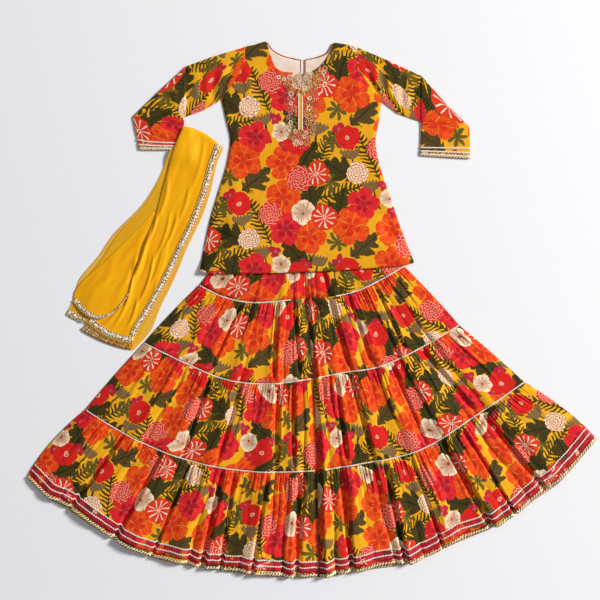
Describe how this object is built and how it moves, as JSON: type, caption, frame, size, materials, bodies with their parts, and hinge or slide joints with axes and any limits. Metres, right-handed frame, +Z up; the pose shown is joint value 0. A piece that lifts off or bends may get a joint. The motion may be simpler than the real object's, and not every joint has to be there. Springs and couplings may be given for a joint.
{
  "type": "sharara suit",
  "caption": "Printed short tunic with three-quarter sleeves, wide gathered tiered trousers and a folded sheer scarf with lace borders, laid out flat.",
  "frame": {"origin": "middle of the bounding box, on the surface that the suit lies on", "axes": "+X to the right of the laid-out suit as seen from above, +Y towards the neck, +Z up from the surface"},
  "size_m": [1.738, 1.632, 0.0174],
  "materials": {
    "printed_cotton": "matt cotton with a large floral print in mustard, red, orange, cream and dark green",
    "cream_lining": "matt plain cotton",
    "orange_piping": "matt cotton piping",
    "silver_lace": "braided metallic ribbon",
    "gold_lace": "metallic thread lace with small sequins",
    "crimson_band": "satin band with metallic thread",
    "yellow_organza": "sheer crisp organza"
  },
  "bodies": {
    "root": {"left_cuff_lace_lower": "silver_lace", "left_cuff_lace_middle": "silver_lace", "left_cuff_lace_upper": "silver_lace", "left_leg_hem_band": "crimson_band", "left_leg_hem_edging": "gold_lace", "left_leg_lower_seam_lace": "silver_lace", "left_leg_lower_tier_back": "printed_cotton", "left_leg_lower_tier_front": "printed_cotton", "left_leg_middle_seam_lace": "silver_lace", "left_leg_middle_tier_back": "printed_cotton", "left_leg_middle_tier_front": "printed_cotton", "left_leg_upper_seam_lace": "silver_lace", "left_leg_upper_tier_back": "printed_cotton", "left_leg_upper_tier_front": "printed_cotton", "left_leg_yoke_tier_back": "printed_cotton", "left_leg_yoke_tier_front": "printed_cotton", "left_sleeve": "printed_cotton", "right_cuff_lace_lower": "silver_lace", "right_cuff_lace_middle": "silver_lace", "right_cuff_lace_upper": "silver_lace", "right_leg_hem_band": "crimson_band", "right_leg_hem_edging": "gold_lace", "right_leg_lower_seam_lace": "silver_lace", "right_leg_lower_tier_back": "printed_cotton", "right_leg_lower_tier_front": "printed_cotton", "right_leg_middle_seam_lace": "silver_lace", "right_leg_middle_tier_back": "printed_cotton", "right_leg_middle_tier_front": "printed_cotton", "right_leg_upper_seam_lace": "silver_lace", "right_leg_upper_tier_back": "printed_cotton", "right_leg_upper_tier_front": "printed_cotton", "right_leg_yoke_tier_back": "printed_cotton", "right_leg_yoke_tier_front": "printed_cotton", "right_sleeve": "printed_cotton", "scarf_border_flap": "gold_lace", "scarf_border_long": "gold_lace", "scarf_border_main": "gold_lace", "scarf_border_wing": "gold_lace", "scarf_core": "yellow_organza", "scarf_flap": "yellow_organza", "scarf_main_fold": "yellow_organza", "scarf_margin": "yellow_organza", "scarf_wing": "yellow_organza", "trouser_waistband": "printed_cotton", "tunic_back": "printed_cotton", "tunic_back_piping_left": "orange_piping", "tunic_back_piping_right": "orange_piping", "tunic_front": "printed_cotton", "tunic_neck_lining": "cream_lining", "tunic_placket_lace_left": "silver_lace", "tunic_placket_lace_right": "silver_lace"}
  },
  "joints": []
}
